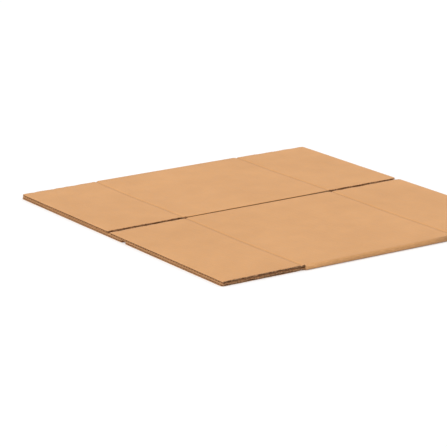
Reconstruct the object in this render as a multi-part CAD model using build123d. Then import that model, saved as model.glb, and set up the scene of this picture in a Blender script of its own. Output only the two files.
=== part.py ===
from build123d import *
import math
import os

# Flattened regular slotted box: one corrugated blank, folded flat in two layers and glued at one seam.
# X runs across the flutes from fold to fold, Y runs along the flutes from flap edge to flap edge.
# The origin is at the middle of the underside.

# Inside of the box once it is set up
inside_length = 355.6
inside_width = 304.8
inside_depth = 304.8

# Corrugated board
board_caliper = 4.0
liner_thickness = 0.35
medium_thickness = 0.3
flute_pitch = 7.9
flute_tip_width = 1.6

# Flat folds at the two ends of the layers
layer_gap = 1.2
fold_radius = 4.4
fold_wall = 3.0

# Pressed score lines
score_width = 6.0
score_outer_depth = 1.1
score_inner_depth = 0.5

# Slots between the flaps
slot_width = 9.5
slot_overcut = 6.0
torn_edge_depth = 1.4

# Glued joint in the upper layer
seam_gap = 1.6
tab_width = 35.0
tab_taper = 9.0
tab_clearance = 0.2

# Sizes of the blank that follow from the ones above
length_panel = inside_length + board_caliper
width_panel = inside_width + board_caliper
depth_panel = inside_depth + 2 * board_caliper
flap_length = (inside_width + board_caliper) / 2
flat_width = length_panel + width_panel
flat_thickness = 2 * board_caliper + layer_gap
upper_underside = board_caliper + layer_gap
near_fold = flat_width / 2
far_fold = -flat_width / 2
upper_seam = near_fold - length_panel
lower_score = near_fold - width_panel
slot_end = depth_panel / 2 - slot_overcut
flute_end = depth_panel / 2 + score_width / 2
flap_edge = depth_panel / 2 + flap_length


def groove_in_section(plane, middle, surface, depth):
    """Round groove of the score's width, sunk by depth (up if negative) from a surface of the section."""
    left_lip = (middle - score_width / 2, surface)
    right_lip = (middle + score_width / 2, surface)
    bottom = ThreePointArc(left_lip, (middle, surface - depth), right_lip)
    return plane * make_face([bottom, Line(right_lip, left_lip)])


def folded_body():
    """Middle of the blank between the slot ends: both layers, their folds, the seam and the score."""
    section_plane = Plane.XZ
    outline = Pos(0, flat_thickness / 2) * RectangleRounded(flat_width, flat_thickness, fold_radius)
    gap_length = flat_width - 2 * fold_wall
    gap = Pos(0, board_caliper + layer_gap / 2) * SlotOverall(gap_length, layer_gap)
    shoulder_top = (upper_seam + board_caliper, flat_thickness)
    shoulder_foot = (upper_seam, upper_underside)
    edge_foot = (upper_seam - seam_gap, upper_underside)
    edge_top = (upper_seam - seam_gap, flat_thickness)
    seam = make_face(
        [
            RadiusArc(shoulder_foot, shoulder_top, board_caliper),
            Line(shoulder_top, edge_top),
            Line(edge_top, edge_foot),
            Line(edge_foot, shoulder_foot),
        ]
    )
    section = section_plane * (outline - gap - seam)
    section -= groove_in_section(section_plane, lower_score, 0, -score_outer_depth)
    return extrude(section, amount=slot_end, both=True)


def glue_tab():
    """Crushed tab of the length panel, glued under the edge of the width panel, with tapered ends."""
    root = upper_seam + board_caliper
    tip = upper_seam - tab_width
    outline = Polyline(
        (root, -slot_end),
        (root, slot_end),
        (upper_seam - seam_gap, slot_end),
        (tip, slot_end - tab_taper),
        (tip, tab_taper - slot_end),
        (upper_seam - seam_gap, -slot_end),
        close=True,
    )
    tab_thickness = layer_gap - tab_clearance
    tab_plane = Plane.XY.offset(upper_underside - tab_thickness)
    return extrude(tab_plane * make_face(outline), amount=tab_thickness)


def flute_sections(left, right, underside):
    """Outlines of the open channels above and below the fluted medium, across one flap's end."""
    wave_height = board_caliper - 2 * liner_thickness - medium_thickness
    wall_run = (flute_pitch - 2 * flute_tip_width) / 2
    wall_offset = medium_thickness / (2 * math.sin(math.atan2(wave_height, wall_run)))
    lean = wall_run * medium_thickness / (2 * wave_height)
    wide_half = flute_pitch / 2 - flute_tip_width / 2 + lean - wall_offset
    narrow_half = flute_tip_width / 2 + lean - wall_offset
    low = underside + liner_thickness
    high = underside + board_caliper - liner_thickness
    edge_margin = torn_edge_depth + medium_thickness
    count = int((right - left - 2 * edge_margin) // flute_pitch)
    first_crest = (left + right - count * flute_pitch) / 2
    channels = []
    for step in range(count):
        middle = first_crest + (step + 1 / 2) * flute_pitch
        channels.append((middle, high, wide_half, low + medium_thickness, narrow_half))
    for step in range(1, count):
        middle = first_crest + step * flute_pitch
        channels.append((middle, low, wide_half, high - medium_thickness, narrow_half))
    return channels


def flap(left, right, underside):
    """One fluted flap at the +Y end, with the recess that the slotting blade tears along both sides."""
    topside = underside + board_caliper
    low = underside + liner_thickness
    high = topside - liner_thickness
    middle = underside + board_caliper / 2
    outline = [
        (left, underside),
        (right, underside),
        (right, low),
        (right - torn_edge_depth, middle),
        (right, high),
        (right, topside),
        (left, topside),
        (left, high),
        (left + torn_edge_depth, middle),
        (left, low),
    ]
    holes = []
    for centre, wide_level, wide_half, narrow_level, narrow_half in flute_sections(left, right, underside):
        corners = [
            (centre - wide_half, wide_level),
            (centre + wide_half, wide_level),
            (centre + narrow_half, narrow_level),
            (centre - narrow_half, narrow_level),
        ]
        holes.append(Wire.make_polygon([(x, flute_end, z) for x, z in corners]))
    end_face = Face(Wire.make_polygon([(x, flute_end, z) for x, z in outline]), holes)
    return Solid.extrude(end_face, (0, flap_edge - flute_end, 0))


def score_strip(left, right, underside, outer_surface, inner_surface):
    """Solid strip between the slot ends and a flap, with the flap's score pressed into both faces."""
    section_plane = Plane.YZ
    score_line = depth_panel / 2
    length = flute_end - slot_end
    outer_depth = math.copysign(score_outer_depth, outer_surface - inner_surface)
    inner_depth = math.copysign(score_inner_depth, inner_surface - outer_surface)
    section = section_plane * Pos(slot_end + length / 2, underside + board_caliper / 2) * Rectangle(
        length, board_caliper
    )
    section -= groove_in_section(section_plane, score_line, outer_surface, outer_depth)
    section -= groove_in_section(section_plane, score_line, inner_surface, inner_depth)
    return Pos(left, 0, 0) * extrude(section, amount=right - left)


def flaps_of_layer(underside, divide, outer_surface, inner_surface):
    """The four flaps of one layer with their score strips, on both sides of the slot at divide."""
    half_slot = slot_width / 2
    far_span = (far_fold + half_slot, divide - half_slot)
    near_span = (divide + half_slot, near_fold - half_slot)
    pieces = []
    for left, right in (far_span, near_span):
        pieces.append(flap(left, right, underside))
        pieces.append(score_strip(left, right, underside, outer_surface, inner_surface))
    return pieces + [mirror(piece, about=Plane.XZ) for piece in pieces]


def flattened_box():
    """The whole blank as one solid."""
    upper_flaps = flaps_of_layer(upper_underside, upper_seam, flat_thickness, upper_underside)
    lower_flaps = flaps_of_layer(0, lower_score, 0, board_caliper)
    return folded_body() + [glue_tab()] + upper_flaps + lower_flaps


os.makedirs("parts", exist_ok=True)
export_step(flattened_box(), "parts/flattened_box.step")
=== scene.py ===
"""Looks of a flattened corrugated box: a kraft blank, fluted, slotted, scored, folded flat and glued."""

import enum
import functools
import logging
import math
from dataclasses import dataclass
from typing import Any, ClassVar, Sequence

import bpy
import numpy as np
from bpy.types import Material, Mesh, Node, NodeSocket as Socket, NodeTree, Object
from mathutils import Matrix, Vector


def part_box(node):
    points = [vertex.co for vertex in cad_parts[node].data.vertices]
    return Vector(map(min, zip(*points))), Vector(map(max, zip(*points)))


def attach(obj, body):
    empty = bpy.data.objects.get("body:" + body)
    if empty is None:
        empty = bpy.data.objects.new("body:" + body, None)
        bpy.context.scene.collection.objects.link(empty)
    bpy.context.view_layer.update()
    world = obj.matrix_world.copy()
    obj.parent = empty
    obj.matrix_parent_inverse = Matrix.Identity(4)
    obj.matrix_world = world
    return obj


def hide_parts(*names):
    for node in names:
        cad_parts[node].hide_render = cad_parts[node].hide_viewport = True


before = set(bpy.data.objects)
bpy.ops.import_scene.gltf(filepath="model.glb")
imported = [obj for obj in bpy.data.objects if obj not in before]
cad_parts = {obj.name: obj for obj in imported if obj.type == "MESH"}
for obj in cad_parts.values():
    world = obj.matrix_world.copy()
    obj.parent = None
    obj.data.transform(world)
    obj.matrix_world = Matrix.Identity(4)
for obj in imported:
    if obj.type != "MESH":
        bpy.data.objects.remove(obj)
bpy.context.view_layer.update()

NODE = "flattened_box"
PIECE = "corrugated_blank"
LOG = logging.getLogger("flattened_box")

Array = np.ndarray
Numbers = tuple[float, ...]
Colour = tuple[float, float, float]
Point = tuple[float, float, float]


def placed(name: str, data: Any) -> Object:
    """Makes an object and links it to the scene.

    Args:
        name: Its name.
        data: Its mesh, curve, camera or light.

    Returns:
        The object.
    """
    made = bpy.data.objects.new(name, data)
    bpy.context.scene.collection.objects.link(made)
    return made


def mesh_object(name: str, points: list[Any], edges: list[Any], faces: list[Any]) -> Object:
    """Makes a mesh object.

    Args:
        name: Its name.
        points: Its points.
        edges: Its loose edges.
        faces: Its faces.

    Returns:
        The object.
    """
    mesh = bpy.data.meshes.new(name)
    mesh.from_pydata(points, edges, faces)
    return placed(name, mesh)


@dataclass(frozen=True)
class BlankSizes:
    """Real sizes of the blank in metres. The three outer sizes are read from the frame."""

    SCORE_STATIONS: ClassVar[int] = 9

    flat_width: float
    flat_depth: float
    flat_thickness: float
    board_caliper: float = 0.0040
    liner_thickness: float = 0.00035
    medium_thickness: float = 0.00030
    flute_pitch: float = 0.0079
    panel_difference: float = 0.0508
    fold_radius: float = 0.0044
    fold_wall: float = 0.0030
    fold_ease: float = 0.0060
    score_width: float = 0.0060
    score_outer_depth: float = 0.0011
    score_inner_depth: float = 0.0005
    slot_width: float = 0.0095
    slot_overcut: float = 0.0060
    seam_gap: float = 0.0016
    tab_width: float = 0.0350
    tab_taper: float = 0.0090
    tab_thickness: float = 0.0010
    tab_turn: float = 0.0006
    trim: float = 0.00006

    @classmethod
    def from_frame(cls) -> "BlankSizes":
        """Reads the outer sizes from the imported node."""
        low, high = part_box(NODE)
        return cls(high.x - low.x, high.y - low.y, high.z - low.z)

    @property
    def half_width(self) -> float:
        """Distance from the middle to the nose of a fold."""
        return self.flat_width / 2

    @property
    def width_panel(self) -> float:
        """Width of the narrower panels, from score to score."""
        return (self.flat_width - self.panel_difference) / 2

    @property
    def length_panel(self) -> float:
        """Width of the wider panels, from score to score."""
        return self.flat_width - self.width_panel

    @property
    def flap_edge(self) -> float:
        """Distance from the middle to the cut edge of the flaps."""
        return self.flat_depth / 2 - self.trim

    @property
    def score_line(self) -> float:
        """Distance from the middle to the flap scores, by flaps of half the narrower panels' width."""
        return (self.flat_depth - self.width_panel) / 2

    @property
    def slot_end(self) -> float:
        """Distance from the middle to the inner ends of the slots."""
        return self.score_line - self.slot_overcut

    @property
    def upper_underside(self) -> float:
        """Height of the upper layer's inside face."""
        return self.flat_thickness - self.board_caliper

    @property
    def seam_x(self) -> float:
        """Place of the glued seam in the upper layer."""
        return self.half_width - self.length_panel

    @property
    def lower_score_x(self) -> float:
        """Place of the unfolded score in the lower layer."""
        return self.half_width - self.width_panel

    def across_score(self, line: float) -> Array:
        """Gives stations from lip to lip across the pressed score on a line."""
        return line + np.linspace(-0.5, 0.5, self.SCORE_STATIONS) * self.score_width


@dataclass(frozen=True)
class Places:
    """Points of the flat blank: run lengths across the flutes, and rows along them."""

    runs: Array
    rows: Array

    @property
    def out(self) -> Array:
        """Distances of the rows from the middle."""
        return np.abs(self.rows)

    @property
    def rear(self) -> Array:
        """Whether the rows are behind the middle, as 0 or 1."""
        return (self.rows > 0).astype(int)


class Layer(enum.Enum):
    """The three straight stretches of the folded section."""

    UPPER_WIDTH = "upper width panel"
    LOWER = "both lower panels"
    UPPER_LENGTH = "upper length panel"


class FoldPath:
    """Section line of the board's outside face, from the width panel's raw edge round to the tab's tip."""

    ARC_STEPS = 10
    LEAD = 0.0001
    LEAD_SHARE = 0.25

    def __init__(self, sizes: BlankSizes) -> None:
        """Lays out the line, and keeps the run lengths at which its stretches meet.

        Args:
            sizes: The blank's sizes.
        """
        self.sizes = sizes
        half, top, radius = sizes.half_width, sizes.flat_thickness, sizes.fold_radius
        seam, caliper, turn = sizes.seam_x, sizes.board_caliper, sizes.tab_turn
        inner = half - radius
        self.points: list[tuple[float, float]] = [(seam - sizes.seam_gap, top)]
        self.arcs: list[tuple[float, float]] = []
        self._line_to(-inner, top)
        self.far_start = self.length
        self._arc(-inner, top - radius, radius, 90, 180)
        self._line_to(-half, radius)
        self._arc(-inner, radius, radius, 180, 270)
        self.far_end = self.length
        self._line_to(inner, 0.0)
        self.near_start = self.length
        self._arc(inner, radius, radius, 270, 360)
        self._line_to(half, top - radius)
        self._arc(inner, top - radius, radius, 0, 90)
        self.near_end = self.length
        self._line_to(seam + caliper, top)
        self.shoulder_start = self.length
        self._arc(seam + caliper, top - caliper, caliper, 90, 180, rise=turn)
        self._arc(seam - turn, sizes.upper_underside + turn, turn, 0, -90)
        self.tab_start = self.length
        self._line_to(seam - sizes.tab_width, sizes.upper_underside)
        self.tab_tip = self.length

    @property
    def runs(self) -> Array:
        """Run length at each point of the line."""
        steps = np.linalg.norm(np.diff(np.array(self.points), axis=0), axis=1)
        return np.concatenate(([0.0], np.cumsum(steps)))

    @property
    def length(self) -> float:
        """Run length of the line so far."""
        return float(self.runs[-1])

    @property
    def folds(self) -> list[tuple[float, float]]:
        """Run lengths where the far and near folds start and end."""
        return [(self.far_start, self.far_end), (self.near_start, self.near_end)]

    def _line_to(self, x: float, z: float) -> None:
        """Adds a straight stretch, with a short lead at both ends that keeps its direction true.

        Args:
            x: Place across the flutes where the stretch ends.
            z: Height where it ends.
        """
        start = Vector(self.points[-1])
        end = Vector((x, z))
        lead = (end - start).normalized() * min(self.LEAD, (end - start).length * self.LEAD_SHARE)
        for point in (start + lead, end - lead, end):
            self.points.append((point.x, point.y))

    def _arc(self, x: float, z: float, radius: float, start: float, end: float, rise: float = 0.0) -> None:
        """Adds a round stretch.

        Args:
            x: Centre across the flutes.
            z: Height of the centre.
            radius: Radius of the stretch.
            start: Angle in degrees where it starts.
            end: Angle in degrees where it ends.
            rise: Height above the centre at which it stops short, or zero.
        """
        first = self.length
        for step in range(1, self.ARC_STEPS + 1):
            angle = math.radians(start + (end - start) * step / self.ARC_STEPS)
            height = radius * math.sin(angle)
            if rise:
                height = max(height, rise)
            self.points.append((x + radius * math.cos(angle), z + height))
        self.arcs.append((first, self.length))

    def run_at(self, x: float, layer: Layer) -> float:
        """Gives the run length at a place on a straight stretch.

        Args:
            x: Place across the flutes.
            layer: The stretch that it lies on.

        Returns:
            The run length there.
        """
        inner = self.sizes.half_width - self.sizes.fold_radius
        if layer is Layer.UPPER_WIDTH:
            return self.points[0][0] - x
        if layer is Layer.LOWER:
            return self.far_end + x + inner
        return self.near_end + inner - x

    def across(self, runs: Array) -> Array:
        """Gives the places across the flutes of run lengths."""
        return np.interp(runs, self.runs, np.array(self.points)[:, 0])

    def build(self) -> Object:
        """Makes the line as a curve object that the folding tree follows.

        Returns:
            The curve object.
        """
        curve = bpy.data.curves.new("fold_path", "CURVE")
        curve.dimensions = "3D"
        spline = curve.splines.new("POLY")
        spline.points.add(len(self.points) - 1)
        for point, (x, z) in zip(spline.points, self.points):
            point.co = (x, 0.0, z, 1.0)
        return placed("fold_path", curve)


@dataclass(frozen=True)
class Settling:
    """How the layers lie: the upper one sags on the lower one, and the flaps' edges bow a little."""

    sizes: BlankSizes
    path: FoldPath
    panel_sag: float = 0.00085
    bowl_stretch: float = 1.12
    bowl_start: float = 0.06
    tab_sag: float = 0.00012
    tab_slope: float = 4.0
    tab_start: float = 0.4
    skew: float = 0.0021
    shorter_share: float = 0.0024
    bow_share: float = 0.25
    bow_turns: float = 17.0
    bow_shift: float = 1.7
    upper_edge_sags: Numbers = (0.00030, 0.00062, 0.00055, 0.00020)
    lower_edge_lifts: Numbers = (0.00025, 0.00020, 0.00025, 0.00060)

    def _sag_of_panels(self, x: Array) -> Array:
        """Sag of the upper panels, nothing at the folds and hardly any over the tab.

        Args:
            x: Places across the flutes.

        Returns:
            How far the panel lies below its full height.
        """
        sizes = self.sizes
        half = sizes.half_width
        far_span = sizes.seam_x - sizes.tab_width + half
        near_span = half - sizes.seam_x
        along = np.clip(np.where(x > sizes.seam_x, (half - x) / near_span, (x + half) / far_span), 0.0, 1.0)
        bowl = np.sin(math.pi * np.clip(along * self.bowl_stretch - self.bowl_start, 0.0, 1.0)) ** 2
        over_tab = np.clip(along * self.tab_slope - self.tab_start, 0.0, 1.0)
        return self.panel_sag * bowl + self.tab_sag * over_tab

    def _flap_edges(self, at: Places, x: Array, divide: float, values: Sequence[float]) -> Array:
        """Bow of the four flap edges of a layer.

        Args:
            at: Points of the flat blank.
            x: Their places across the flutes.
            divide: Place of the slot between the layer's panels.
            values: Height of the bow at each flap: front far, front near, rear far, rear near.

        Returns:
            The height of the bow at each point.
        """
        flap = 2 * at.rear + (x > divide)
        wave = 1.0 + self.bow_share * np.sin(x * self.bow_turns + self.bow_shift * flap)
        return np.array(values)[flap] * wave

    def offsets(self, at: Places) -> Array:
        """Gives how far each point of the sheet lies from its true folded place.

        Args:
            at: Points of the flat blank.

        Returns:
            One offset vector for each point.
        """
        sizes = self.sizes
        path = self.path
        x = path.across(at.runs)
        upper = np.interp(at.runs, np.ravel(path.folds), [1.0, 0.0, 0.0, 1.0])
        out = np.clip((at.out - sizes.slot_end) / (sizes.flap_edge - sizes.slot_end), 0.0, 1.0)
        sag = self._flap_edges(at, x, sizes.seam_x, self.upper_edge_sags) * out
        sag = sag + self._sag_of_panels(x) * (1.0 - out)
        lift = self._flap_edges(at, x, sizes.lower_score_x, self.lower_edge_lifts) * out ** 2
        on_width = (at.runs < path.far_start) * np.clip((x + sizes.half_width) / sizes.width_panel, 0.0, 1.0)
        shift_x = -self.skew * at.rows * on_width
        shift_y = self.skew * sizes.width_panel * on_width - self.shorter_share * at.rows
        return np.stack((shift_x, shift_y * upper, lift * (1.0 - upper) - sag * upper), axis=-1)


@dataclass(frozen=True)
class TornSides:
    """Ragged and crushed sides that the slotting blade leaves along the flaps."""

    SECOND_DRAW: ClassVar[int] = 50

    sizes: BlankSizes
    sides: Numbers
    inward: Numbers
    reach: float = 0.0045
    outer_crush: float = 0.0007
    inner_crush: float = 0.0012
    crush_step: float = 0.0096
    crush_gain: float = 1.7
    crush_floor: float = 0.5
    quick_share: float = 0.45
    rag_step: float = 0.0032
    long_share: float = 0.65

    def nearest(self, runs: Array) -> tuple[Array, Array]:
        """Finds the number of the nearest flap side of each run length, and the distance from it."""
        distances = np.abs(runs[:, None] - np.array(self.sides)[None, :])
        return distances.argmin(axis=1), distances.min(axis=1)

    def _rough(self, at: Places, step: float, seed: int) -> Array:
        """Gives an uneven line along each flap side, one in front and another at the rear.

        Args:
            at: Points of the flat blank.
            step: Distance between the bends of a line.
            seed: Number that the first side's lines are drawn from.

        Returns:
            The value of the nearest side's line at each point, from 0 to 1.
        """
        side, _ = self.nearest(at.runs)
        bends = np.arange(self.sizes.slot_end, self.sizes.flap_edge + step, step)
        values = np.zeros_like(at.runs)
        for number in range(len(self.sides)):
            front, rear = np.random.default_rng(seed + number).random((2, len(bends)))
            line = np.where(at.rows < 0, np.interp(at.out, bends, front), np.interp(at.out, bends, rear))
            values = np.where(side == number, line, values)
        return values

    def shares(self, at: Places) -> Array:
        """Gives how much of the tearing reaches each point, from 0 to 1 at a flap's side."""
        beyond = np.clip((at.out - self.sizes.slot_end) / self.reach, 0.0, 1.0)
        return np.clip(1.0 - self.nearest(at.runs)[1] / self.reach, 0.0, 1.0) ** 2 * beyond

    def crushed(self, at: Places, most: float, seed: int) -> Array:
        """Gives how far one face of the board is crushed.

        Args:
            at: Points of the flat blank.
            most: How far the face is crushed at most.
            seed: Number that the crushing is drawn from.

        Returns:
            The crushed depths.
        """
        slow = self._rough(at, self.crush_step, seed)
        quick = self._rough(at, self.rag_step, seed + self.SECOND_DRAW)
        depth = np.clip(self.crush_gain * slow - self.crush_floor, 0.0, 1.0)
        depth = depth * (1.0 - self.quick_share + self.quick_share * quick)
        return most * depth * self.shares(at)

    def drawn_in(self, at: Places, most: float, seed: int) -> Array:
        """Gives how far the ragged sides are drawn in.

        Args:
            at: Points of the flat blank.
            most: How far a side is drawn in at most.
            seed: Number that the rags are drawn from.

        Returns:
            The shifts along the run.
        """
        side, _ = self.nearest(at.runs)
        rough = self._rough(at, self.rag_step, seed)
        long = self._rough(at, self.crush_step, seed + self.SECOND_DRAW)
        shift = np.array(self.inward)[side] * most * rough
        return shift * (1.0 - self.long_share + self.long_share * long) * self.shares(at)


@dataclass(frozen=True)
class BluntCorners:
    """Corners of the flaps, knocked blunt by handling, each by a different amount."""

    sizes: BlankSizes
    torn: TornSides
    reach: float = 0.0065
    depth: float = 0.0016
    press: float = 0.0006
    gentlest: float = 0.25
    seed: int = 21

    def shares(self, at: Places) -> Array:
        """Gives how much of a corner's knock reaches each point.

        Args:
            at: Points of the flat blank.

        Returns:
            Shares from 0 to about 1 at a corner.
        """
        side, distance = self.torn.nearest(at.runs)
        knocks = np.random.default_rng(self.seed).uniform(self.gentlest, 1.0, (2, len(self.torn.sides)))
        across = np.clip(1.0 - distance / self.reach, 0.0, 1.0) ** 2
        along = np.clip(1.0 - (self.sizes.flap_edge - at.out) / self.reach, 0.0, 1.0)
        return knocks[at.rear, side] * across * along


@dataclass(frozen=True)
class SheetGrid:
    """Stations of a sheet's grid, and how ragged its cut edges are."""

    runs: Array
    rows: Array
    torn_rows: Array
    end_rag: float
    side_rag: float
    seed: int

    @property
    def all_rows(self) -> Array:
        """Plain rows and the closer rows along torn sides together."""
        return np.unique(np.concatenate((self.rows, self.torn_rows)))


class CutSheet:
    """One layer of paper, cut to the blank's outline and still flat, as a grid of runs and rows."""

    KEEP_APART = 0.0004
    NOSE_REACH = 0.004
    NOSE_FADE = 0.004
    CUT_FADE = 0.0025
    OUTER_DRAW = 100
    INNER_DRAW = 200

    def __init__(self, sizes: BlankSizes, path: FoldPath) -> None:
        """Works out where the flaps stand on the run.

        Args:
            sizes: The blank's sizes.
            path: The folded section line.
        """
        self.sizes = sizes
        self.path = path
        self.settling = Settling(sizes, path)
        half_slot = sizes.slot_width / 2
        fold_flap = sizes.half_width - half_slot
        run = path.run_at
        self.flaps: list[tuple[float, float]] = [
            (run(sizes.seam_x - half_slot, Layer.UPPER_WIDTH), run(-fold_flap, Layer.UPPER_WIDTH)),
            (run(-fold_flap, Layer.LOWER), run(sizes.lower_score_x - half_slot, Layer.LOWER)),
            (run(sizes.lower_score_x + half_slot, Layer.LOWER), run(fold_flap, Layer.LOWER)),
            (run(fold_flap, Layer.UPPER_LENGTH), run(sizes.seam_x + half_slot, Layer.UPPER_LENGTH)),
        ]
        self.lower_score = run(sizes.lower_score_x, Layer.LOWER)
        sides = tuple(side for flap in self.flaps for side in flap)
        self.torn = TornSides(sizes, sides, (1.0, -1.0) * len(self.flaps))
        self.corners = BluntCorners(sizes, self.torn)

    def run_stations(self, step: float, margins: Sequence[float]) -> Array:
        """Chooses the grid's run lengths: every step, the flaps' sides and margins, arcs and the score.

        Args:
            step: Distance between plain stations.
            margins: Distances from the flaps' sides that get a station of their own.

        Returns:
            The sorted run lengths.
        """
        path = self.path
        fixed = [0.0, path.tab_start, path.tab_tip]
        for left, right in self.flaps:
            for margin in (0.0, *margins):
                fixed += [left + margin, right - margin]
        for first, last in path.arcs:
            fixed += list(np.linspace(first, last, path.ARC_STEPS + 1))
        fixed += list(self.sizes.across_score(self.lower_score))
        kept = sorted(set(fixed))
        plain = np.arange(step, path.tab_tip, step)
        gaps = np.abs(plain[:, None] - np.array(kept)[None, :]).min(axis=1)
        return np.array(sorted(kept + list(plain[gaps > self.KEEP_APART])))

    def _groove(self, offset: Array) -> Array:
        """Gives the share of a pressed score's depth at an offset from its line."""
        return np.clip(1.0 - (2.0 * offset / self.sizes.score_width) ** 2, 0.0, 1.0)

    def board_depth(self, at: Places) -> Array:
        """Gives the board's thickness: less at the folds between the flaps, and crushed on the tab.

        Args:
            at: Points of the flat blank.

        Returns:
            The thickness at each point.
        """
        sizes = self.sizes
        ease, full, fold = sizes.fold_ease, sizes.board_caliper, sizes.fold_wall
        stations = []
        for start, end in self.path.folds:
            stations += [(start - ease, full), (start, fold), (end, fold), (end + ease, full)]
        stations += [(self.path.shoulder_start, full), (self.path.tab_start, sizes.tab_thickness)]
        in_body = np.clip(1.0 - (at.out - sizes.slot_end) / ease, 0.0, 1.0)
        return full - (full - np.interp(at.runs, *zip(*stations))) * in_body

    def _faces(self, grid: SheetGrid) -> list[list[tuple[int, int]]]:
        """Lists the cells that are paper and not slot, by the column and row numbers of their corners.

        A plain cell beside a torn strip takes the strip's closer points along their shared side.

        Args:
            grid: The sheet's stations.

        Returns:
            The corners of each cell.
        """
        rows = grid.all_rows
        plain = np.flatnonzero(np.isin(rows, grid.rows))
        middles = (grid.runs[:-1] + grid.runs[1:]) / 2
        in_flap = [any(left < middle < right for left, right in self.flaps) for middle in middles]
        _, distance = self.torn.nearest(middles)
        torn = [flap and gap < self.torn.reach for flap, gap in zip(in_flap, distance)] + [False]
        faces = []
        for low, high in zip(plain[:-1], plain[1:]):
            in_body = abs(rows[low] + rows[high]) / 2 < self.sizes.slot_end
            every = list(range(low, high + 1))
            ends = [low, high]
            for column in range(len(middles)):
                if in_body:
                    cells = [(ends, ends)]
                elif not in_flap[column]:
                    continue
                elif torn[column]:
                    cells = [([row, row + 1], [row, row + 1]) for row in every[:-1]]
                else:
                    cells = [(every if torn[column - 1] else ends, every if torn[column + 1] else ends)]
                for left, right in cells:
                    there = [(column, row) for row in left]
                    faces.append(there + [(column + 1, row) for row in reversed(right)])
        return faces

    def build(self, name: str, grid: SheetGrid) -> Object:
        """Makes the flat sheet, with what the folding tree needs stored at its points.

        Args:
            name: Name of the object.
            grid: The sheet's stations.

        Returns:
            The flat sheet's object.
        """
        faces = self._faces(grid)
        numbers: dict[tuple[int, int], int] = {}
        for face in faces:
            for corner in face:
                numbers.setdefault(corner, len(numbers))
        columns, levels = np.array(list(numbers)).T
        at = Places(grid.runs[columns], grid.all_rows[levels])
        ragged = at.runs + self.torn.drawn_in(at, grid.side_rag, grid.seed)
        points = np.stack((ragged, self._cut_rows(at, columns, grid), np.zeros_like(ragged)), axis=-1)
        cells = [[numbers[corner] for corner in face] for face in faces]
        sheet = mesh_object(name, points.tolist(), [], cells)
        self.store(sheet.data, at, self._pressing(at))
        return sheet

    def _cut_rows(self, at: Places, columns: Array, grid: SheetGrid) -> Array:
        """Tapers the tab's ends, and draws the flaps' cut edges and corners in unevenly.

        Args:
            at: Points of the flat blank.
            columns: Column number of each point.
            grid: The sheet's stations.

        Returns:
            The new places along the flutes.
        """
        sizes = self.sizes
        start, tip = self.path.tab_start, self.path.tab_tip
        taper = np.clip((at.runs - start) / (tip - start), 0.0, 1.0)
        draw = np.random.default_rng(grid.seed).random((2, len(grid.runs))) * grid.end_rag
        drawn = np.where(at.out >= sizes.flap_edge - sizes.trim, draw[at.rear, columns], 0.0)
        blunt = self.corners.depth * self.corners.shares(at)
        return at.rows * (1.0 - taper * sizes.tab_taper / sizes.slot_end) - np.sign(at.rows) * (drawn + blunt)

    def crushes(self, at: Places) -> tuple[Array, Array]:
        """Gives how far the board is crushed at torn sides and knocked corners.

        Args:
            at: Points of the flat blank.

        Returns:
            The crushed depths of the outside and of the inside.
        """
        torn = self.torn
        knock = self.corners.press * self.corners.shares(at)
        outer = torn.crushed(at, torn.outer_crush, self.OUTER_DRAW)
        inner = torn.crushed(at, torn.inner_crush, self.INNER_DRAW)
        return outer + knock, inner + knock

    def _pressing(self, at: Places) -> dict[str, Array]:
        """Works out the pressing, thickness, wear and the painted-shade masks at each point of the flat
        sheet.

        Args:
            at: Points of the flat blank.

        Returns:
            The values by the names that the folding tree and the finishes read.
        """
        sizes = self.sizes
        flap_score = self._groove(at.out - sizes.score_line)
        scored = np.maximum(flap_score, self._groove(at.runs - self.lower_score))
        cut = np.minimum(sizes.flap_edge - at.out, at.runs)
        nose = np.minimum(*(np.abs(at.runs - sum(fold) / 2) for fold in self.path.folds))
        outer_crush, inner_crush = self.crushes(at)
        return {
            "outer_press": sizes.score_outer_depth * scored + outer_crush,
            "board_depth": self.board_depth(at) - sizes.score_inner_depth * flap_score - inner_crush,
            # scored, folded and cut also tell the finishes where to paint shade, or on the outside a
            # highlight.
            "scored": scored,
            "folded": np.exp(-np.clip(nose - self.NOSE_REACH, 0.0, None) / self.NOSE_FADE),
            "cut": np.exp(-np.clip(cut, 0.0, None) / self.CUT_FADE),
            "torn": self.torn.shares(at),
        }

    def store(self, mesh: Mesh, at: Places, floats: dict[str, Array]) -> None:
        """Stores values at each point of a flat sheet, and how far it settles.

        Args:
            mesh: The flat sheet.
            at: Points of the flat blank with which the sheet's own points settle.
            floats: The values by name.
        """
        for name, values in floats.items():
            mesh.attributes.new(name, "FLOAT", "POINT").data.foreach_set("value", values.astype(np.float32))
        flat = self.settling.offsets(at).astype(np.float32).ravel()
        mesh.attributes.new("settle", "FLOAT_VECTOR", "POINT").data.foreach_set("vector", flat)


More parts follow.
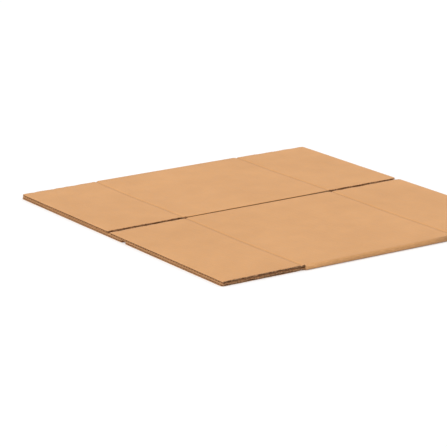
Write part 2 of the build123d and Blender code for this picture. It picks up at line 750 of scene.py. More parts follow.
class Wiring:
    """Adds nodes to a tree and links them, so that a tree reads as a list of steps."""

    def __init__(self, tree: NodeTree) -> None:
        """Keeps the node tree to add to."""
        self.tree = tree

    @classmethod
    def fresh(cls, owner: Any) -> "Wiring":
        """Empties the node tree of a material or a world, and starts its wiring.

        Args:
            owner: The material or world.

        Returns:
            The wiring.
        """
        owner.use_nodes = True
        owner.node_tree.nodes.clear()
        return cls(owner.node_tree)

    def add(self, kind: str, inputs: dict[str | int, Any] | None = None, **settings: Any) -> Node:
        """Adds a node.

        Args:
            kind: The node's type name.
            inputs: What feeds its inputs, by name or place: a socket or a plain value.
            settings: The node's own settings.

        Returns:
            The new node.
        """
        node = self.tree.nodes.new(kind)
        for name, value in settings.items():
            setattr(node, name, value)
        for key, value in (inputs or {}).items():
            self.feed(node.inputs[key], value)
        return node

    def out(self, kind: str, inputs: dict[str | int, Any] | None = None, **settings: Any) -> Socket:
        """Adds a node and gives its first output."""
        return self.add(kind, inputs, **settings).outputs[0]

    def feed(self, socket: Socket, value: Any) -> None:
        """Links a socket to an input, or sets the input's value.

        Args:
            socket: The input.
            value: A socket or a plain value.
        """
        if isinstance(value, Socket):
            self.tree.links.new(value, socket)
        else:
            socket.default_value = value

    def math(self, operation: str, *values: Any, clamp: bool = False) -> Socket:
        """Adds a Math node with its inputs in order."""
        return self.out("ShaderNodeMath", dict(enumerate(values)), operation=operation, use_clamp=clamp)

    def vector_math(self, operation: str, *values: Any) -> Socket:
        """Adds a Vector Math node with its inputs in order."""
        return self.out("ShaderNodeVectorMath", dict(enumerate(values)), operation=operation)

    def chain(self, operation: str, *values: Any) -> Socket:
        """Joins several values in their order with one Math operation."""
        return functools.reduce(lambda joined, value: self.math(operation, joined, value), values)

    def weighted(self, values: Sequence[Socket], weights: Numbers) -> list[Socket]:
        """Multiplies each value by its weight."""
        return [self.math("MULTIPLY", value, weight) for value, weight in zip(values, weights)]

    def xyz(self, x: Any = 0.0, y: Any = 0.0, z: Any = 0.0) -> Socket:
        """Joins three values to a vector."""
        return self.out("ShaderNodeCombineXYZ", {0: x, 1: y, 2: z})

    def ramp(self, value: Socket, low: float, high: float) -> Socket:
        """Maps a value smoothly, from low to 0 and from high to 1."""
        inputs = {0: value, 1: low, 2: high, 3: 0.0, 4: 1.0}
        return self.out("ShaderNodeMapRange", inputs, interpolation_type="SMOOTHSTEP")

    def noise(self, place: Socket, scale: float, detail: float = 2.0, roughness: float = 0.5) -> Socket:
        """Adds a Noise Texture of about 0.5 on average, with its cells for each metre as scale."""
        inputs = {"Vector": place, "Scale": scale, "Detail": detail, "Roughness": roughness}
        return self.out("ShaderNodeTexNoise", inputs)

    def blend(self, factor: Any, first: Any, second: Any, mode: str = "MIX") -> Socket:
        """Adds a colour Mix node, with the factor as the second colour's share."""
        inputs = {0: factor, 6: first, 7: second}
        return self.add("ShaderNodeMix", inputs, data_type="RGBA", blend_type=mode).outputs[2]


@dataclass(frozen=True)
class SheetPlan:
    """One paper layer: where it lies in the board and what it is made of, by the folding tree's inputs."""

    name: str
    paper_thickness: float
    face_paper: Material
    back_paper: Material
    cut_paper: Material
    outer_inset: float = 0.0
    inner_inset: float = 0.0
    level: float = 0.0
    wave: float = 0.0


class NodeTool:
    """A Geometry Nodes tree with named inputs that turns one object's mesh into another plain mesh."""

    NAME = "node_tool"
    INPUTS: dict[str, Sequence[str]] = {}

    def __init__(self) -> None:
        self.tree = bpy.data.node_groups.new(self.NAME, "GeometryNodeTree")
        self.inputs: dict[str, str] = {}
        interface = self.tree.interface
        for kind, names in self.INPUTS.items():
            for name in names:
                socket = interface.new_socket(name=name, in_out="INPUT", socket_type="NodeSocket" + kind)
                self.inputs[name] = socket.identifier
        interface.new_socket(name="Result", in_out="OUTPUT", socket_type="NodeSocketGeometry")
        self.wiring = Wiring(self.tree)
        self.given = self.wiring.add("NodeGroupInput").outputs
        self.wiring.add("NodeGroupOutput", {0: self._result()})

    def _result(self) -> Socket:
        """Adds the tree's nodes and gives its result. Each tool has its own."""
        raise NotImplementedError

    def _store(self, geometry: Socket, name: str, value: Any, kind: str, domain: str) -> Socket:
        """Stores values on geometry by name."""
        feeds = {"Geometry": geometry, "Name": name, "Value": value}
        return self.wiring.out("GeometryNodeStoreNamedAttribute", feeds, data_type=kind, domain=domain)

    def _stored(self, name: str, kind: str = "FLOAT") -> Socket:
        """Reads values that are stored by name."""
        return self.wiring.out("GeometryNodeInputNamedAttribute", {"Name": name}, data_type=kind)

    def run(self, target: Object, values: dict[str, Any]) -> Mesh:
        """Runs the tree on an object.

        Args:
            target: The object whose mesh goes in.
            values: What the tree's inputs are set to, by name.

        Returns:
            The result as a plain mesh.
        """
        modifier = target.modifiers.new(self.NAME, "NODES")
        modifier.node_group = self.tree
        for name, value in values.items():
            modifier[self.inputs[name]] = value
        depsgraph = bpy.context.evaluated_depsgraph_get()
        evaluated = target.evaluated_get(depsgraph)
        mesh = bpy.data.meshes.new_from_object(evaluated, preserve_all_data_layers=True, depsgraph=depsgraph)
        target.modifiers.remove(modifier)
        return mesh


class ShredTree(NodeTool):
    """Geometry Nodes tree that sets shreds of paper along the flaps' sides while the blank is flat."""

    NAME = "set_shreds"
    INPUTS = {
        "Geometry": ("Sides",),
        "Object": ("Shred",),
        "Float": ("Spacing", "Stray", "Shortest", "Longest", "Narrowest", "Widest", "Lean"),
        "Int": ("Seed",),
        "Material": ("Paper",),
    }
    DRAWN = ("which_liner", "shred_level", "shred_curl")

    def _result(self) -> Socket:
        """Adds the tree's nodes: points along the sides, a strayed and turned shred at each.

        Returns:
            The shreds.
        """
        wiring, given = self.wiring, self.given
        sides = wiring.out("GeometryNodeMeshToCurve", {"Mesh": given["Sides"]})
        feeds = {"Curve": sides, "Length": given["Spacing"]}
        spread = wiring.add("GeometryNodeCurveToPoints", feeds, mode="LENGTH").outputs
        offset = wiring.xyz(y=self._either_way(0, given["Stray"]))
        points = wiring.out("GeometryNodeSetPosition", {"Geometry": spread["Points"], "Offset": offset})
        feeds = {"Vector": spread["Tangent"]}
        facing = wiring.out("FunctionNodeAlignRotationToVector", feeds, axis="Y", pivot_axis="Z")
        lean = wiring.xyz(z=self._either_way(1, given["Lean"]))
        turn = wiring.out("FunctionNodeEulerToRotation", {0: lean})
        rotation = wiring.out("FunctionNodeRotateRotation", {0: facing, 1: turn}, rotation_space="LOCAL")
        mostly_short = wiring.math("POWER", self._random(2, 0.0, 1.0), 2.0)
        length = wiring.out("ShaderNodeMix", {0: mostly_short, 2: given["Shortest"], 3: given["Longest"]})
        scale = wiring.xyz(length, self._random(3, given["Narrowest"], given["Widest"]), 1.0)
        shred = wiring.add("GeometryNodeObjectInfo", {"Object": given["Shred"]}).outputs["Geometry"]
        feeds = {"Points": points, "Instance": shred, "Rotation": rotation, "Scale": scale}
        shreds = wiring.out("GeometryNodeInstanceOnPoints", feeds)
        for number, name in enumerate(self.DRAWN, start=4):
            shreds = self._store(shreds, name, self._random(number, 0.0, 1.0), "FLOAT", "INSTANCE")
        real = wiring.out("GeometryNodeRealizeInstances", {"Geometry": shreds})
        return wiring.out("GeometryNodeSetMaterial", {"Geometry": real, "Material": given["Paper"]})

    def _random(self, number: int, low: Any, high: Any) -> Socket:
        """Draws a value for each shred, by the number of the draw."""
        seed = self.wiring.math("ADD", self.given["Seed"], float(number))
        feeds = {2: low, 3: high, 8: seed}
        return self.wiring.add("FunctionNodeRandomValue", feeds, data_type="FLOAT").outputs[1]

    def _either_way(self, number: int, most: Socket) -> Socket:
        """Draws a value for each shred that is at most so far to either side of zero."""
        return self._random(number, self.wiring.math("MULTIPLY", most, -1.0), most)


class FoldingTree(NodeTool):
    """Geometry Nodes tree that corrugates a flat sheet, folds it along the section line and thickens it."""

    SEED = 4.0
    DRIFT_SCALE = 35.0
    FLUTE_LEAN = 0.0016
    FLUTE_SWING = 0.57
    MERGE_DISTANCE = 1e-6
    NAME = "corrugate_and_fold"
    INPUTS = {
        "Geometry": ("Sheet",),
        "Object": ("Fold Path",),
        "Float": (
            "Flute Pitch", "Outer Inset", "Inner Inset", "Level",
            "Wave", "Paper Thickness", "Flute Lean", "Seed",
        ),
        "Material": ("Face Paper", "Back Paper", "Cut Paper"),
    }

    def _result(self) -> Socket:
        """Adds the tree's nodes: depth in the board, folding, thickness, papers.

        Returns:
            The folded paper.
        """
        wiring, given = self.wiring, self.given
        position = wiring.out("GeometryNodeInputPosition")
        marked = self._store(given["Sheet"], "blank_place", position, "FLOAT_VECTOR", "POINT")
        shell = self._thicken(self._fold(marked, position, self._depth(position)))
        real = wiring.out("GeometryNodeRealizeInstances", {"Geometry": shell})
        back = self._stored("inner_side", "BOOLEAN")
        rim = self._stored("cut_rim", "BOOLEAN")
        for material, chosen in (("Face Paper", True), ("Back Paper", back), ("Cut Paper", rim)):
            feeds = {"Geometry": real, "Selection": chosen, "Material": given[material]}
            real = wiring.out("GeometryNodeSetMaterial", feeds)
        return real

    def _depth(self, position: Socket) -> Socket:
        """Works out how deep the sheet lies below the board's outside face.

        Args:
            position: Places on the flat sheet.

        Returns:
            The depth of the sheet's inner side.
        """
        wiring, given = self.wiring, self.given
        run = wiring.out("ShaderNodeSeparateXYZ", {0: position})
        outer = wiring.math("ADD", self._stored("outer_press"), given["Outer Inset"])
        inner = wiring.math("SUBTRACT", self._stored("board_depth"), given["Inner Inset"])
        drawn = wiring.vector_math("ADD", position, wiring.xyz(z=given["Seed"]))
        drift = wiring.math("SUBTRACT", wiring.noise(drawn, self.DRIFT_SCALE), 0.5)
        leaning = wiring.math("MULTIPLY_ADD", drift, given["Flute Lean"], run)
        turns = wiring.math("DIVIDE", leaning, given["Flute Pitch"])
        swing = wiring.math("SINE", wiring.math("MULTIPLY", turns, math.tau))
        flattened = wiring.math("MULTIPLY_ADD", swing, self.FLUTE_SWING, 0.5, clamp=True)
        level = wiring.out("ShaderNodeMix", {0: given["Wave"], 2: given["Level"], 3: flattened})
        return wiring.math("MULTIPLY_ADD", wiring.math("SUBTRACT", inner, outer), level, outer)

    def _fold(self, sheet: Socket, position: Socket, depth: Socket) -> Socket:
        """Lays the flat sheet along the section line, and lets it settle.

        Args:
            sheet: The flat sheet.
            position: Places on the flat sheet.
            depth: Depth of each point below the board's outside face.

        Returns:
            The folded sheet.
        """
        wiring = self.wiring
        run, row = wiring.add("ShaderNodeSeparateXYZ", {0: position}).outputs[:2]
        line = wiring.add("GeometryNodeObjectInfo", {"Object": self.given["Fold Path"]}).outputs["Geometry"]
        sample = wiring.add("GeometryNodeSampleCurve", {"Curves": line, "Length": run}, mode="LENGTH").outputs
        inward = wiring.vector_math("CROSS_PRODUCT", sample["Tangent"], wiring.xyz(y=1.0))
        feeds = {0: wiring.vector_math("NORMALIZE", inward), "Scale": depth}
        sunk = wiring.out("ShaderNodeVectorMath", feeds, operation="SCALE")
        target = sample["Position"]
        for step in (sunk, wiring.xyz(y=row), self._stored("settle", "FLOAT_VECTOR")):
            target = wiring.vector_math("ADD", target, step)
        return wiring.out("GeometryNodeSetPosition", {"Geometry": sheet, "Position": target})

    def _thicken(self, sheet: Socket) -> Socket:
        """Thickens the folded sheet to a closed shell, and marks its cut rims and inner side.

        Args:
            sheet: The folded sheet, at the paper's inner side.

        Returns:
            The shell.
        """
        wiring = self.wiring
        feeds = {"Mesh": sheet, "Offset Scale": self.given["Paper Thickness"], "Individual": False}
        raised = wiring.add("GeometryNodeExtrudeMesh", feeds, mode="FACES").outputs
        rims = self._store(raised["Mesh"], "cut_rim", raised["Side"], "BOOLEAN", "FACE")
        turned = wiring.out("GeometryNodeFlipFaces", {"Mesh": sheet})
        backs = self._store(turned, "inner_side", True, "BOOLEAN", "FACE")
        joined = wiring.add("GeometryNodeJoinGeometry", {0: rims})
        wiring.feed(joined.inputs[0], backs)
        feeds = {"Geometry": joined.outputs[0], "Distance": self.MERGE_DISTANCE}
        closed = wiring.out("GeometryNodeMergeByDistance", feeds)
        rim = self._stored("cut_rim", "BOOLEAN")
        smooth = wiring.out("FunctionNodeBooleanMath", {0: rim}, operation="NOT")
        feeds = {"Geometry": closed, "Shade Smooth": smooth}
        return wiring.out("GeometryNodeSetShadeSmooth", feeds, domain="FACE")

    def fold(self, sheet: Object, path: Object, pitch: float, plan: SheetPlan) -> Mesh:
        """Runs the tree on one flat sheet.

        Args:
            sheet: The flat sheet.
            path: The section line.
            pitch: The flute pitch.
            plan: Where the sheet lies in the board and what it is made of.

        Returns:
            The folded sheet as a plain mesh.
        """
        values = {key.replace("_", " ").title(): value for key, value in vars(plan).items() if key != "name"}
        values |= {"Fold Path": path, "Flute Pitch": pitch, "Flute Lean": self.FLUTE_LEAN, "Seed": self.SEED}
        return self.run(sheet, values)


@dataclass(frozen=True)
class TornShreds:
    """Short shreds of liner paper that hang from the flaps' torn sides."""

    OUTLINE: ClassVar[tuple[Point, ...]] = (
        (0.0, -0.5, 0.0), (0.0, 0.5, 0.0), (0.5, 0.34, 0.0), (0.5, -0.28, 0.0), (1.0, 0.1, 0.0)
    )

    cutter: CutSheet
    spacing: float = 0.0021
    stray: float = 0.0018
    root: float = 0.0010
    shortest: float = 0.0011
    longest: float = 0.0034
    narrowest: float = 0.00025
    widest: float = 0.0012
    lean_deg: float = 42.0
    curl: float = 0.0011
    thickness: float = 0.00012
    least_level: float = 0.35
    level_range: float = 0.3
    clear_of_slot_end: float = 0.0040
    clear_of_edge: float = 0.0025
    seed: int = 40

    def _sides(self) -> Object:
        """Makes one line along each torn side, set in by the shreds' roots, with the slot on its right.

        Returns:
            The lines' object.
        """
        torn = self.cutter.torn
        low = self.cutter.sizes.slot_end + self.clear_of_slot_end
        high = self.cutter.sizes.flap_edge - self.clear_of_edge
        points: list[Point] = []
        for side, inward in zip(torn.sides, torn.inward):
            run = side + inward * self.root
            for ends in ((low, high), (-high, -low)):
                points += [(run, row, 0.0) for row in (ends if inward < 0 else ends[::-1])]
        edges = [(number, number + 1) for number in range(0, len(points), 2)]
        return mesh_object("torn_sides", points, edges, [])

    def _shred(self) -> Object:
        """Makes one pointed shred of unit length and width.

        Returns:
            The shred's object.
        """
        shred = mesh_object("shred", list(self.OUTLINE), [], [(0, 1, 2, 3), (3, 2, 4)])
        tip = shred.data.attributes.new("tip", "FLOAT", "POINT")
        tip.data.foreach_set("value", [point[0] for point in self.OUTLINE])
        return shred

    def build(self, paper: Material) -> Object:
        """Sets the shreds along the flat sides, at the depth of the liner that each hangs from.

        Args:
            paper: The paper that they are made of.

        Returns:
            The flat shreds' object.
        """
        sides = self._sides()
        shred = self._shred()
        named = ("spacing", "stray", "shortest", "longest", "narrowest", "widest", "seed")
        values = {name.capitalize(): getattr(self, name) for name in named}
        values |= {"Shred": shred, "Lean": math.radians(self.lean_deg), "Paper": paper}
        mesh = ShredTree().run(sides, values)
        bpy.data.objects.remove(shred)
        bpy.data.objects.remove(sides)
        self._dress(mesh)
        return placed("torn_shreds", mesh)

    def _taken(self, mesh: Mesh, name: str) -> Array:
        """Takes a value that the shreds were drawn with off their points.

        Args:
            mesh: The flat shreds.
            name: Name of the value.

        Returns:
            The values.
        """
        values = np.zeros(len(mesh.vertices), dtype=np.float32)
        mesh.attributes[name].data.foreach_get("value", values)
        mesh.attributes.remove(mesh.attributes[name])
        return values

    def _dress(self, mesh: Mesh) -> None:
        """Stores what the folding tree needs at the shreds' points.

        Args:
            mesh: The flat shreds.
        """
        cutter = self.cutter
        liner = cutter.sizes.liner_thickness
        places = np.zeros(3 * len(mesh.vertices), dtype=np.float32)
        mesh.vertices.foreach_get("co", places)
        runs, rows, _ = places.astype(float).reshape(-1, 3).T
        side, _ = cutter.torn.nearest(runs)
        inward = np.array(cutter.torn.inward)[side]
        roots = Places(np.array(cutter.torn.sides)[side] + self.root * inward, rows)
        outer_crush, inner_crush = cutter.crushes(roots)
        drawn = self.least_level + self.level_range * self._taken(mesh, "shred_level")
        level = self.thickness + (liner - self.thickness) * drawn
        curl = self.curl * self._taken(mesh, "shred_curl") * self._taken(mesh, "tip") ** 2
        outer = outer_crush + level + curl
        inner = cutter.board_depth(roots) - inner_crush - liner + level - curl
        floats = {name: np.zeros_like(runs) for name in ("board_depth", "scored", "folded", "cut")}
        floats["outer_press"] = np.where(self._taken(mesh, "which_liner") < 0.5, outer, inner)
        floats["torn"] = np.ones_like(runs)
        cutter.store(mesh, roots, floats)


@dataclass(frozen=True)
class Speckle:
    """Sparse marks of recycled pulp: their cells for each metre, size, patches and strength."""

    cells: float
    edge: float
    core: float
    patches: float
    rarest: float
    densest: float
    strength: float

    def share(self, wiring: Wiring, place: Socket, swayed: Socket) -> Socket:
        """Gives how much of a mark covers each place.

        Args:
            wiring: The material's wiring.
            place: Places on the flat blank.
            swayed: The same places, drawn out along the paper's grain and swayed.

        Returns:
            The share of the mark's colour.
        """
        cells = wiring.out("ShaderNodeTexVoronoi", {"Vector": swayed, "Scale": self.cells})
        mark = wiring.ramp(cells, self.edge, self.core)
        patch = wiring.ramp(wiring.noise(place, self.patches, 1.0), self.rarest, self.densest)
        return wiring.chain("MULTIPLY", mark, patch, self.strength)


@dataclass(frozen=True)
class KraftFinish:
    """Kraft paper: its colours, fibres and flecks, faint bumps over the flutes under it and painted shade
    lines along them.

    Each noise is given by its cells for each metre, its detail and its roughness.
    """

    GRAIN: ClassVar[Point] = (0.16, 1.0, 1.0)
    CREASE_RUN: ClassVar[Point] = (1.0, 0.1, 1.0)
    SWAY: ClassVar[Point] = (0.0004, 0.0016, 0.0)
    SWAY_SCALE: ClassVar[float] = 300.0
    FIBRE: ClassVar[Numbers] = (1700.0, 3.0, 0.6)
    CLOUD: ClassVar[Numbers] = (85.0, 4.0, 0.6)
    BLOTCH: ClassVar[Numbers] = (24.0, 3.0, 0.55)
    BROAD: ClassVar[Numbers] = (6.0, 2.0)
    CREASE: ClassVar[Numbers] = (950.0, 3.0, 0.6)
    RAGS: ClassVar[Numbers] = (330.0, 3.0, 0.7)
    TONE_WEIGHTS: ClassVar[Numbers] = (0.9, 0.6, 0.48, 0.62)
    # Painted shade: faint darker and lighter lines over the flutes, beside their real bumps.
    FLUTE_TONE: ClassVar[float] = 0.06
    TONE_SHIFT: ClassVar[float] = -0.80
    FIBRE_RELIEF: ClassVar[float] = 0.00003
    CLOUD_RELIEF: ClassVar[float] = 0.00010
    CREASE_RELIEF: ClassVar[float] = 0.00022
    GLOSS_RANGE: ClassVar[float] = 0.24
    # Painted shade: darker in the pressed scores, partly the crushed paper's own darkening, and darker on the
    # fold noses.
    SCORE_SHADE: ClassVar[float] = 0.20
    FOLD_SHADE: ClassVar[float] = 0.16
    SCUFFED: ClassVar[tuple[float, float]] = (0.42, 0.70)
    SCUFF_STRENGTH: ClassVar[float] = 0.45
    RAGGED: ClassVar[tuple[float, float]] = (0.35, 0.65)
    RAG_STRENGTH: ClassVar[float] = 0.7
    PALE_GAIN: ClassVar[float] = 1.18
    PALE_LIFT: ClassVar[float] = 0.05
    FLECKS: ClassVar[Speckle] = Speckle(
        cells=620.0, edge=0.20, core=0.08, patches=170.0, rarest=0.58, densest=0.70, strength=0.5
    )
    STRANDS: ClassVar[Speckle] = Speckle(
        cells=930.0, edge=0.22, core=0.06, patches=210.0, rarest=0.54, densest=0.68, strength=0.35
    )

    name: str
    base: Colour
    light: Colour
    fleck: Colour
    roughness: float
    specular: float
    flute_relief: float = 0.0
    # How much darker the paper is near its cut edges; below zero it is a painted highlight there.
    edge_shade: float = 0.10

    @property
    def pale(self) -> Colour:
        """Colour of rubbed and bared fibres."""
        red, green, blue = (min(1.0, self.PALE_GAIN * part + self.PALE_LIFT) for part in self.light)
        return red, green, blue

    def material(self, pitch: float) -> Material:
        """Builds the paper's material on the blank's own flat places.

        Args:
            pitch: The flute pitch.

        Returns:
            The material.
        """
        material = bpy.data.materials.new(self.name)
        wiring = Wiring.fresh(material)
        place = self._stored(wiring, "blank_place", "Vector")
        grain = wiring.vector_math("MULTIPLY", place, self.GRAIN)
        run = wiring.out("ShaderNodeSeparateXYZ", {0: place})
        flute = wiring.math("SINE", wiring.math("MULTIPLY", run, math.tau / pitch))
        fibre = wiring.noise(grain, *self.FIBRE)
        cloud, blotch, broad = (wiring.noise(place, *size) for size in (self.CLOUD, self.BLOTCH, self.BROAD))
        tones = wiring.weighted((fibre, cloud, blotch, broad), self.TONE_WEIGHTS)
        # Painted shade: the flute wave lays faint dark and light lines on the tone.
        tones.append(wiring.math("MULTIPLY_ADD", flute, self.FLUTE_TONE, self.TONE_SHIFT))
        tone = wiring.math("MAXIMUM", wiring.math("MINIMUM", wiring.chain("ADD", *tones), 1.0), 0.0)
        colour = wiring.blend(tone, (*self.base, 1.0), (*self.light, 1.0))
        colour = self._flecks(wiring, place, grain, colour)
        crease = wiring.noise(wiring.vector_math("MULTIPLY", place, self.CREASE_RUN), *self.CREASE)
        creased = wiring.math("MULTIPLY", self._stored(wiring, "folded"), crease)
        heights = (self.FIBRE_RELIEF, self.CLOUD_RELIEF, self.flute_relief, self.CREASE_RELIEF)
        relief = wiring.chain("ADD", *wiring.weighted((fibre, cloud, flute, creased), heights))
        dullest = self.roughness - self.GLOSS_RANGE / 2
        feeds = {
            "Base Color": self._wear(wiring, place, creased, colour),
            "Roughness": wiring.math("MULTIPLY_ADD", cloud, self.GLOSS_RANGE, dullest),
            "Specular IOR Level": self.specular,
            "Normal": wiring.out("ShaderNodeBump", {"Strength": 1.0, "Distance": 1.0, "Height": relief}),
        }
        surface = wiring.out("ShaderNodeBsdfPrincipled", feeds)
        wiring.add("ShaderNodeOutputMaterial", {"Surface": surface})
        return material

    def _stored(self, wiring: Wiring, name: str, kind: str = "Fac") -> Socket:
        """Reads what the blank stored at its points by name."""
        return wiring.add("ShaderNodeAttribute", attribute_name=name).outputs[kind]

    def _flecks(self, wiring: Wiring, place: Socket, grain: Socket, colour: Socket) -> Socket:
        """Adds the sparse dark flecks and pale strands of recycled pulp.

        Args:
            wiring: The material's wiring.
            place: Places on the flat blank.
            grain: The same places, drawn out along the paper's grain.
            colour: The paper's colour.

        Returns:
            The colour with flecks.
        """
        bent = wiring.add("ShaderNodeTexNoise", {"Vector": place, "Scale": self.SWAY_SCALE}).outputs["Color"]
        swayed = wiring.vector_math("MULTIPLY_ADD", bent, self.SWAY, grain)
        for marks, tint in ((self.FLECKS, self.fleck), (self.STRANDS, self.pale)):
            colour = wiring.blend(marks.share(wiring, place, swayed), colour, (*tint, 1.0))
        return colour

    def _wear(self, wiring: Wiring, place: Socket, creased: Socket, colour: Socket) -> Socket:
        """Paints shade in the scores and on the fold noses, shades or lights the cut edges, and scuffs folds
        and torn sides.

        Args:
            wiring: The material's wiring.
            place: Places on the flat blank.
            creased: Fine creases along the folds.
            colour: The paper's colour.

        Returns:
            The colour with painted shade, painted highlight and wear.
        """
        shade: Any = 1.0
        # Painted shade in the scores and on the fold noses, and darker near cut edges; a negative edge_shade
        # paints a highlight there.
        shades = {"scored": self.SCORE_SHADE, "cut": self.edge_shade, "folded": self.FOLD_SHADE}
        for name, depth in shades.items():
            kept = wiring.math("MULTIPLY_ADD", self._stored(wiring, name), -depth, 1.0)
            shade = wiring.math("MULTIPLY", shade, kept)
        colour = wiring.blend(1.0, colour, wiring.xyz(shade, shade, shade), "MULTIPLY")
        scuff = wiring.math("MULTIPLY", wiring.ramp(creased, *self.SCUFFED), self.SCUFF_STRENGTH)
        colour = wiring.blend(scuff, colour, (*self.pale, 1.0))
        patch = wiring.ramp(wiring.noise(place, *self.RAGS), *self.RAGGED)
        torn = wiring.math("MULTIPLY", self._stored(wiring, "torn"), self.RAG_STRENGTH)
        ragged = wiring.blend(patch, (*self.fleck, 1.0), (*self.pale, 1.0))
        return wiring.blend(torn, colour, ragged)


OUTSIDE = KraftFinish(
    name="kraft_outside",
    base=(0.52, 0.247, 0.080),
    light=(0.67, 0.337, 0.124),
    fleck=(0.22, 0.095, 0.035),
    roughness=0.6,
    specular=0.5,
    flute_relief=4e-5,
    # Painted highlight along the cut edges, together with the paler bared fibres there.
    edge_shade=-0.10,
)
INSIDE = KraftFinish(
    name="kraft_inside",
    base=(0.49, 0.235, 0.085),
    light=(0.62, 0.31, 0.125),
    fleck=(0.22, 0.10, 0.04),
    roughness=0.75,
    specular=0.35,
    flute_relief=5e-5,
)
FLUTING = KraftFinish(
    name="fluting_paper",
    base=(0.38, 0.20, 0.09),
    light=(0.49, 0.268, 0.13),
    fleck=(0.15, 0.07, 0.03),
    roughness=0.85,
    specular=0.25,
)
CUT_EDGE = KraftFinish(
    name="cut_edge",
    base=(0.49, 0.275, 0.135),
    light=(0.64, 0.38, 0.205),
    fleck=(0.20, 0.09, 0.04),
    roughness=0.85,
    specular=0.2,
)


@dataclass
class CorrugatedBlank:
    """The whole box: liners and fluted medium of one blank, folded flat and glued."""

    SHREDS: ClassVar[str] = "torn_shreds"
    DRAWS_APART: ClassVar[int] = 300

    sizes: BlankSizes
    liner_step: float = 0.0079
    flute_steps: int = 8
    side_margins: Numbers = (0.0012, 0.0028, 0.0045)
    body_rows: Numbers = (0.05, 0.10)
    edge_margins: Numbers = (0.09, 0.02, 0.004, 0.0012, 0.0)
    medium_score_lead: float = 0.0046
    medium_edge_margins: Numbers = (0.006, 0.0)
    torn_step: float = 0.0032
    liner_rag: float = 0.0008
    medium_rag: float = 0.0018
    flute_end_rag: float = 0.0006

    def plans(self, shreds: TornShreds) -> list[SheetPlan]:
        """Says where each paper lies in the board, from the outside in, and then the shreds.

        Args:
            shreds: The torn sides' shreds.

        Returns:
            The plans of the sheets.
        """
        sizes = self.sizes
        liner = sizes.liner_thickness
        medium = sizes.medium_thickness
        finishes = (OUTSIDE, INSIDE, FLUTING, CUT_EDGE)
        outside, inside, fluting, cut = (finish.material(sizes.flute_pitch) for finish in finishes)
        depths = {"outer_inset": liner + medium, "inner_inset": liner, "level": 0.5, "wave": 1.0}
        return [
            SheetPlan("outside_liner", liner, outside, inside, cut, outer_inset=liner),
            SheetPlan("fluted_medium", medium, fluting, fluting, fluting, **depths),
            SheetPlan("inside_liner", liner, inside, inside, cut, level=1.0),
            SheetPlan(self.SHREDS, shreds.thickness, inside, inside, cut),
        ]

    def _both_ends(self, half: Sequence[float]) -> Array:
        """Repeats places along the flutes on both sides of the middle."""
        return np.array(sorted([-row for row in half] + list(half)))

    def grid(self, cutter: CutSheet, fluted: bool, seed: int) -> SheetGrid:
        """Chooses a sheet's stations: close along the run if it is fluted, and close at the scores if not.

        Args:
            cutter: The cutter of the sheets.
            fluted: Whether the sheet is the fluted medium.
            seed: Number that its ragged edges are drawn from.

        Returns:
            The sheet's stations.
        """
        sizes = self.sizes
        edge, score = sizes.flap_edge, sizes.score_line
        torn = np.arange(sizes.slot_end + self.torn_step, edge - self.torn_step / 2, self.torn_step)
        if fluted:
            runs = cutter.run_stations(sizes.flute_pitch / self.flute_steps, ())
            half = [sizes.slot_end, score, score + self.medium_score_lead]
            half += [edge - margin for margin in self.medium_edge_margins]
            end_rag, side_rag = self.flute_end_rag, self.medium_rag
        else:
            runs = cutter.run_stations(self.liner_step, self.side_margins)
            half = [*self.body_rows, sizes.slot_end, *sizes.across_score(score), score + sizes.score_width]
            half += [edge - margin for margin in self.edge_margins]
            end_rag, side_rag = 0.0, self.liner_rag
        rows = np.sort(np.append(self._both_ends(half), 0.0))
        return SheetGrid(runs, rows, self._both_ends(torn), end_rag, side_rag, seed)

    def build(self) -> Object:
        """Makes the blank as one piece, riding on the box's only body.

        Returns:
            The finished piece.
        """
        sizes = self.sizes
        path = FoldPath(sizes)
        line = path.build()
        tree = FoldingTree()
        cutter = CutSheet(sizes, path)
        shreds = TornShreds(cutter)
        parts = []
        for number, plan in enumerate(self.plans(shreds), start=1):
            if plan.name == self.SHREDS:
                sheet = shreds.build(plan.cut_paper)
            else:
                sheet = cutter.build(plan.name, self.grid(cutter, plan.wave > 0.0, self.DRAWS_APART * number))
            flat = sheet.data
            sheet.data = tree.fold(sheet, line, sizes.flute_pitch, plan)
            bpy.data.meshes.remove(flat)
            parts.append(sheet)
            LOG.info("%s: %d faces", plan.name, len(sheet.data.polygons))
        bpy.data.objects.remove(line)
        blank = self._join(parts)
        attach(blank, "root")
        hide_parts(NODE)
        return blank

    def _join(self, parts: list[Object]) -> Object:
        """Joins the papers into the one piece that they are laminated to.

        Args:
            parts: The folded papers.

        Returns:
            The joined object.
        """
        blank = parts[0]
        chosen = {"active_object": blank, "object": blank}
        with bpy.context.temp_override(**chosen, selected_objects=parts, selected_editable_objects=parts):
            bpy.ops.object.join()
        blank.name = PIECE
        blank.data.name = PIECE
        return blank


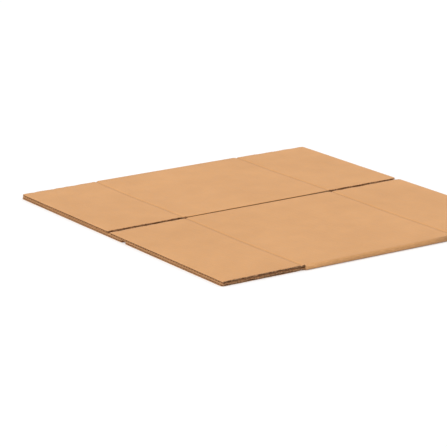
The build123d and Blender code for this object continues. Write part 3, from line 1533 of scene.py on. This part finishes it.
@dataclass(frozen=True)
class Studio:
    """Pale floor, soft light and the camera at the photograph's viewing angle."""

    image_pixels: float = 447.0
    focal_pixels: float = 2355.94
    sensor: float = 36.0
    heading_deg: float = 56.781
    pitch_deg: float = 15.667
    roll_deg: float = -0.6
    eye_from_corner: Point = (2.9880, -1.9525, 1.0964)
    floor_size: float = 40.0
    floor_grey: float = 0.80
    floor_lift: float = 0.14
    sky_light: float = 0.70
    sun_light: float = 1.93
    sun_from: Point = (0.15, -0.80, 0.85)
    sun_softness_deg: float = 50.0

    def camera(self, sizes: BlankSizes) -> None:
        """Places the camera by the box's near upper corner.

        Args:
            sizes: The blank's sizes.
        """
        corner = Vector((sizes.half_width - sizes.slot_width / 2, -sizes.flap_edge, sizes.flat_thickness))
        heading = math.radians(self.heading_deg)
        pitch = math.radians(self.pitch_deg)
        level = math.cos(pitch)
        forward = Vector((-math.sin(heading) * level, math.cos(heading) * level, -math.sin(pitch)))
        roll = Matrix.Rotation(math.radians(self.roll_deg), 3, "Z")
        turn = forward.to_track_quat("-Z", "Y").to_matrix() @ roll
        data = bpy.data.cameras.new("camera")
        data.sensor_width = self.sensor
        data.lens = self.focal_pixels / self.image_pixels * self.sensor
        camera = placed("camera", data)
        camera.matrix_world = Matrix.Translation(corner + Vector(self.eye_from_corner)) @ turn.to_4x4()
        bpy.context.scene.camera = camera

    def _background_rays(self, wiring: Wiring) -> Socket:
        """Tells the rays that see the background from those that light the box."""
        rays = wiring.add("ShaderNodeLightPath").outputs
        kinds = ("Camera", "Glossy", "Transmission")
        return wiring.chain("MAXIMUM", *(rays[f"Is {kind} Ray"] for kind in kinds))

    def floor(self) -> None:
        """Makes the pale floor, white to the camera and still taking the box's shadow."""
        half = self.floor_size / 2
        corners = [(-half, -half, 0), (half, -half, 0), (half, half, 0), (-half, half, 0)]
        floor = mesh_object("floor", corners, [], [(0, 1, 2, 3)])
        material = bpy.data.materials.new("pale_floor")
        wiring = Wiring.fresh(material)
        grey = (self.floor_grey, self.floor_grey, self.floor_grey, 1.0)
        matt = wiring.out("ShaderNodeBsdfDiffuse", {"Color": grey})
        white = wiring.out("ShaderNodeEmission", {"Strength": self.floor_lift})
        lifted = wiring.out("ShaderNodeAddShader", {0: matt, 1: white})
        surface = wiring.out("ShaderNodeMixShader", {0: self._background_rays(wiring), 1: matt, 2: lifted})
        wiring.add("ShaderNodeOutputMaterial", {"Surface": surface})
        floor.data.materials.append(material)

    def lights(self) -> None:
        """Adds the white surround and one broad soft light from above the front flaps."""
        world = bpy.data.worlds.new("studio")
        bpy.context.scene.world = world
        wiring = Wiring.fresh(world)
        seen = self._background_rays(wiring)
        strength = wiring.math("MULTIPLY_ADD", seen, 1.0 - self.sky_light, self.sky_light)
        sky = wiring.out("ShaderNodeBackground", {"Color": (1.0, 1.0, 1.0, 1.0), "Strength": strength})
        wiring.add("ShaderNodeOutputWorld", {"Surface": sky})
        light = bpy.data.lights.new("broad_light", "SUN")
        light.energy = self.sun_light
        light.angle = math.radians(self.sun_softness_deg)
        broad = placed("broad_light", light)
        broad.rotation_euler = (-Vector(self.sun_from)).to_track_quat("-Z", "Y").to_euler()


def main() -> None:
    """Builds the box and its studio in order, and reports each piece."""
    logging.basicConfig(level=logging.INFO, format="%(message)s")
    bpy.context.scene.view_settings.view_transform = "Standard"
    sizes = BlankSizes.from_frame()
    blank = CorrugatedBlank(sizes).build()
    blank.data.calc_loop_triangles()
    LOG.info("%s: %d triangles", blank.name, len(blank.data.loop_triangles))
    studio = Studio()
    studio.camera(sizes)
    studio.floor()
    studio.lights()


if __name__ == "__main__":
    main()
